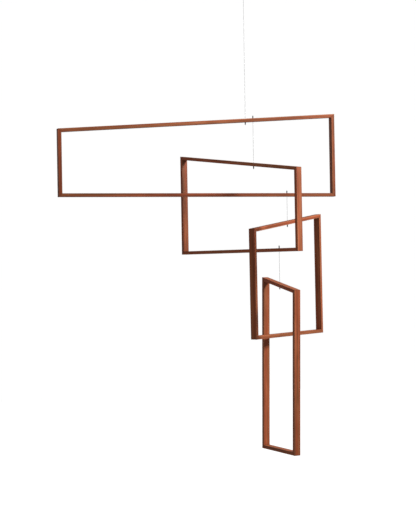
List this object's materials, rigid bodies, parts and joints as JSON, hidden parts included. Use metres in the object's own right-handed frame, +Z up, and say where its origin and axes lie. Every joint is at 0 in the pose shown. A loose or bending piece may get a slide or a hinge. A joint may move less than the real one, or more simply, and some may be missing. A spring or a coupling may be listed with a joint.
{
  "type": "hanging mobile sculpture",
  "caption": "Hanging mobile of thin wooden frames with sloping top rails, linked through each other and turning on fine steel cables.",
  "frame": {"origin": "middle of the ceiling plate's flat top, on the line of the top cable", "axes": "+Z up, towards the ceiling; +X along the longest frame towards its taller end; the frames' fronts face -Y"},
  "size_m": [0.7953, 0.4706, 1.2856],
  "materials": {
    "stained_wood": "satin oiled red-brown hardwood with fine grain along each bar",
    "cable_steel": "fine stranded steel cable",
    "stop_metal": "dark pressed sleeve, satin",
    "plate_metal": "turned satin nickel"
  },
  "bodies": {
    "ceiling": {"ceiling_grip_screw": "stop_metal", "ceiling_plate": "plate_metal", "ceiling_wire": "cable_steel", "ceiling_wire_stop": "stop_metal"},
    "long_frame": {"long_frame_bottom_rail": "stained_wood", "long_frame_left_stile": "stained_wood", "long_frame_right_stile": "stained_wood", "long_frame_top_rail": "stained_wood"},
    "wide_frame": {"wide_frame_bottom_rail": "stained_wood", "wide_frame_left_stile": "stained_wood", "wide_frame_right_stile": "stained_wood", "wide_frame_top_rail": "stained_wood", "wide_frame_wire": "cable_steel", "wide_frame_wire_bottom_stop": "stop_metal", "wide_frame_wire_top_stop": "stop_metal"},
    "square_frame": {"square_frame_bottom_rail": "stained_wood", "square_frame_left_stile": "stained_wood", "square_frame_right_stile": "stained_wood", "square_frame_top_rail": "stained_wood", "square_frame_wire": "cable_steel", "square_frame_wire_bottom_stop": "stop_metal", "square_frame_wire_top_stop": "stop_metal"},
    "tall_frame": {"tall_frame_bottom_rail": "stained_wood", "tall_frame_left_stile": "stained_wood", "tall_frame_right_stile": "stained_wood", "tall_frame_top_rail": "stained_wood", "tall_frame_wire": "cable_steel", "tall_frame_wire_bottom_stop": "stop_metal", "tall_frame_wire_top_stop": "stop_metal"}
  },
  "joints": [
    {"name": "long_frame_turn", "type": "hinge", "parent": "ceiling", "child": "long_frame", "pos_m": [0, 0, -0.366], "axis": [0, 0, 1], "continuous": true},
    {"name": "wide_frame_turn", "type": "hinge", "parent": "long_frame", "child": "wide_frame", "pos_m": [0.0225, 0, -0.488], "axis": [0, 0, 1], "range_deg": [-6, 50]},
    {"name": "square_frame_turn", "type": "hinge", "parent": "long_frame", "child": "square_frame", "pos_m": [0.12036, 0, -0.65], "axis": [0, 0, 1], "range_deg": [-2, 20]},
    {"name": "tall_frame_turn", "type": "hinge", "parent": "wide_frame", "child": "tall_frame", "pos_m": [0.05984, -0.09151, -0.823], "axis": [0, 0, 1], "range_deg": [-5, 20]}
  ]
}
